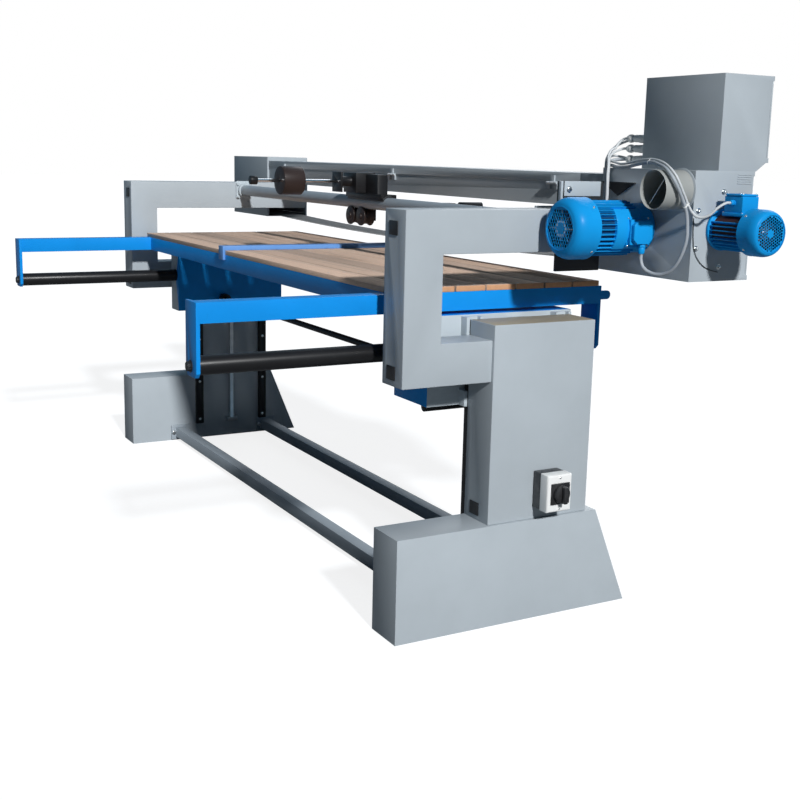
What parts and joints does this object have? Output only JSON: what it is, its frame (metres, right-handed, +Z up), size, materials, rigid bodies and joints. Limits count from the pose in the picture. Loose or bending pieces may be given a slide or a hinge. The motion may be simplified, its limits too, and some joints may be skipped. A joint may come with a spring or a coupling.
{
  "type": "long stroke belt sander",
  "caption": "Long stroke belt sander with C-shaped end stands, a sliding slatted table on a screw lift, a hand pressure pad on a guide tube and a dust fan.",
  "frame": {"origin": "middle of the overall box, at floor level", "axes": "+X along the table from the drive end to the idler end, +Y from the operator to the back, +Z up"},
  "size_m": [3.883, 1.7, 1.728],
  "materials": {
    "grey_paint": "satin",
    "blue_paint": "satin",
    "stretcher_paint": "satin",
    "light_blue_paint": "satin",
    "light_bracket": "satin",
    "dark_metal": "satin",
    "black_steel": "matt",
    "steel": "machined",
    "chrome": "polished",
    "duct_steel": "satin",
    "aluminium": "machined",
    "abrasive": "coated cloth",
    "slat_wood": "planed, unfinished",
    "white_plastic": "matt",
    "black_plastic": "matt",
    "red_plastic": "gloss",
    "green_plastic": "gloss",
    "cable_grey": "satin",
    "pad_felt": "graphite cloth"
  },
  "bodies": {
    "frame": {"feet": "grey_paint", "columns": "grey_paint", "drive_end_c_frame": "grey_paint", "idler_end_c_frame": "grey_paint", "frame_plugs": "black_plastic", "foot_stretchers": "stretcher_paint", "frame_bolts": "steel", "lift_guide_rails": "black_steel", "lift_screws": "steel", "belt_guard_beam": "grey_paint", "carriage_guide_tube": "light_bracket", "guide_tube_brackets": "light_bracket", "drive_housing": "grey_paint", "idler_housing": "grey_paint", "motor_mount_plate": "dark_metal", "drive_motor_body": "blue_paint", "drive_motor_cowl": "blue_paint", "drive_motor_terminal_box": "blue_paint", "dust_outlet": "duct_steel", "fan_motor_body": "blue_paint", "fan_motor_cowl": "blue_paint", "fan_motor_terminal_box": "blue_paint", "tension_rails": "steel", "sanding_belt": "abrasive", "electrical_cabinet": "grey_paint", "cable_glands": "white_plastic", "isolator_box": "white_plastic", "drive_motor_lead": "cable_grey", "fan_motor_lead": "cable_grey", "cabinet_cables": "cable_grey"},
    "drive_spindle": {"drive_motor_rotor": "steel", "drive_pulley": "aluminium"},
    "fan_spindle": {"fan_motor_rotor": "steel", "dust_impeller": "aluminium"},
    "tensioner": {"tension_fork": "dark_metal"},
    "idler": {"idler_pulley": "aluminium"},
    "tension_knob": {"tension_screw": "steel"},
    "guard_cover": {"beam_cover": "grey_paint"},
    "drive_door": {"drive_housing_door": "grey_paint"},
    "idler_door": {"idler_housing_door": "grey_paint"},
    "control_door": {"cabinet_door": "grey_paint"},
    "start": {"start_button": "green_plastic"},
    "stop": {"emergency_stop": "red_plastic"},
    "lift_knob": {"lift_switch": "black_plastic"},
    "isolator": {"isolator_knob": "black_plastic"},
    "saddle": {"carriage_saddle": "dark_metal"},
    "lever": {"carriage_block": "black_steel", "counterweight_rod": "chrome", "pressure_arm": "black_steel"},
    "roller_drive_side": {"drive_side_roller": "black_steel"},
    "roller_idler_side": {"idler_side_roller": "black_steel"},
    "weight": {"counterweight": "black_steel"},
    "pad": {"pressure_pad": "pad_felt"},
    "lift": {"lift_carriages": "blue_paint", "lift_drive": "black_steel"},
    "cross_shaft": {"lift_cross_shaft": "black_steel"},
    "table": {"table_frame": "blue_paint", "table_slats": "slat_wood", "table_guide_tubes": "black_steel"},
    "stop_rail": {"stop_bar": "light_blue_paint"}
  },
  "joints": [
    {"name": "table_lift", "type": "slide", "parent": "frame", "child": "lift", "axis": [0, 0, 1], "range_m": [-0.42, 0.028]},
    {"name": "lift_shaft_turn", "type": "hinge", "parent": "lift", "child": "cross_shaft", "pos_m": [0.0315, -0.145, 0.745], "axis": [1, 0, 0], "continuous": true},
    {"name": "table_slide", "type": "slide", "parent": "lift", "child": "table", "axis": [0, -1, 0], "range_m": [0, 0.65]},
    {"name": "stop_bar_slide", "type": "slide", "parent": "table", "child": "stop_rail", "axis": [1, 0, 0], "range_m": [-1.35, 0.95]},
    {"name": "carriage_slide", "type": "slide", "parent": "frame", "child": "saddle", "axis": [1, 0, 0], "range_m": [-0.98, 1.18]},
    {"name": "pressure_lever", "type": "hinge", "parent": "saddle", "child": "lever", "pos_m": [-0.0735, -0.315, 1.278], "axis": [1, 0, 0], "range_deg": [-4, 6]},
    {"name": "drive_side_roller_turn", "type": "hinge", "parent": "lever", "child": "roller_drive_side", "pos_m": [-0.0235, -0.315, 1.221], "axis": [0, 1, 0], "continuous": true},
    {"name": "idler_side_roller_turn", "type": "hinge", "parent": "lever", "child": "roller_idler_side", "pos_m": [0.0715, -0.315, 1.221], "axis": [0, 1, 0], "continuous": true},
    {"name": "counterweight_slide", "type": "slide", "parent": "lever", "child": "weight", "axis": [0, 1, 0], "range_m": [-0.09, 0.06]},
    {"name": "pad_level", "type": "hinge", "parent": "lever", "child": "pad", "pos_m": [-0.0735, -0.615, 1.226], "axis": [1, 0, 0], "range_deg": [-8, 8]},
    {"name": "drive_spindle_turn", "type": "hinge", "parent": "frame", "child": "drive_spindle", "pos_m": [-1.5105, -0.5, 1.268], "axis": [0, 1, 0], "continuous": true},
    {"name": "fan_spindle_turn", "type": "hinge", "parent": "frame", "child": "fan_spindle", "pos_m": [-1.8185, -0.615, 1.276], "axis": [1, 0, 0], "continuous": true},
    {"name": "belt_tension", "type": "slide", "parent": "frame", "child": "tensioner", "axis": [-1, 0, 0], "range_m": [0, 0.045]},
    {"name": "idler_turn", "type": "hinge", "parent": "tensioner", "child": "idler", "pos_m": [1.6965, -0.615, 1.268], "axis": [0, 1, 0], "continuous": true},
    {"name": "tension_screw_turn", "type": "hinge", "parent": "frame", "child": "tension_knob", "pos_m": [1.9245, -0.615, 1.268], "axis": [1, 0, 0], "continuous": true},
    {"name": "guard_cover_hinge", "type": "hinge", "parent": "frame", "child": "guard_cover", "pos_m": [0.0315, -0.502, 1.391], "axis": [-1, 0, 0], "range_deg": [0, 110]},
    {"name": "drive_door_hinge", "type": "hinge", "parent": "frame", "child": "drive_door", "pos_m": [-1.7382, -0.732, 1.285], "axis": [0, 0, -1], "range_deg": [0, 110]},
    {"name": "idler_door_hinge", "type": "hinge", "parent": "frame", "child": "idler_door", "pos_m": [1.9382, -0.732, 1.293], "axis": [0, 0, 1], "range_deg": [0, 110]},
    {"name": "cabinet_door_hinge", "type": "hinge", "parent": "frame", "child": "control_door", "pos_m": [-1.7382, -0.783, 1.6], "axis": [0, 0, -1], "range_deg": [0, 110]},
    {"name": "start_press", "type": "slide", "parent": "control_door", "child": "start", "axis": [0, 1, 0], "range_m": [0, 0.005], "stiffness_N_per_m": 400, "springref_m": -0.004},
    {"name": "emergency_press", "type": "slide", "parent": "control_door", "child": "stop", "axis": [0, 1, 0], "range_m": [0, 0.008]},
    {"name": "lift_switch_turn", "type": "hinge", "parent": "control_door", "child": "lift_knob", "pos_m": [-1.5385, -0.781, 1.638], "axis": [0, 1, 0], "range_deg": [-30, 30], "stiffness_Nm_per_rad": 0.05},
    {"name": "isolator_turn", "type": "hinge", "parent": "frame", "child": "isolator", "pos_m": [-1.4955, -0.259, 0.4355], "axis": [1, 0, 0], "range_deg": [0, 90]}
  ],
  "couplings": [
    {"joint": "lift_shaft_turn", "follows": "table_lift", "rad_per_m": 628.32},
    {"joint": "drive_side_roller_turn", "follows": "carriage_slide", "rad_per_m": -32.258},
    {"joint": "idler_side_roller_turn", "follows": "carriage_slide", "rad_per_m": -32.258},
    {"joint": "idler_turn", "follows": "drive_spindle_turn", "ratio": 1},
    {"joint": "tension_screw_turn", "follows": "belt_tension", "rad_per_m": 1256.6}
  ]
}
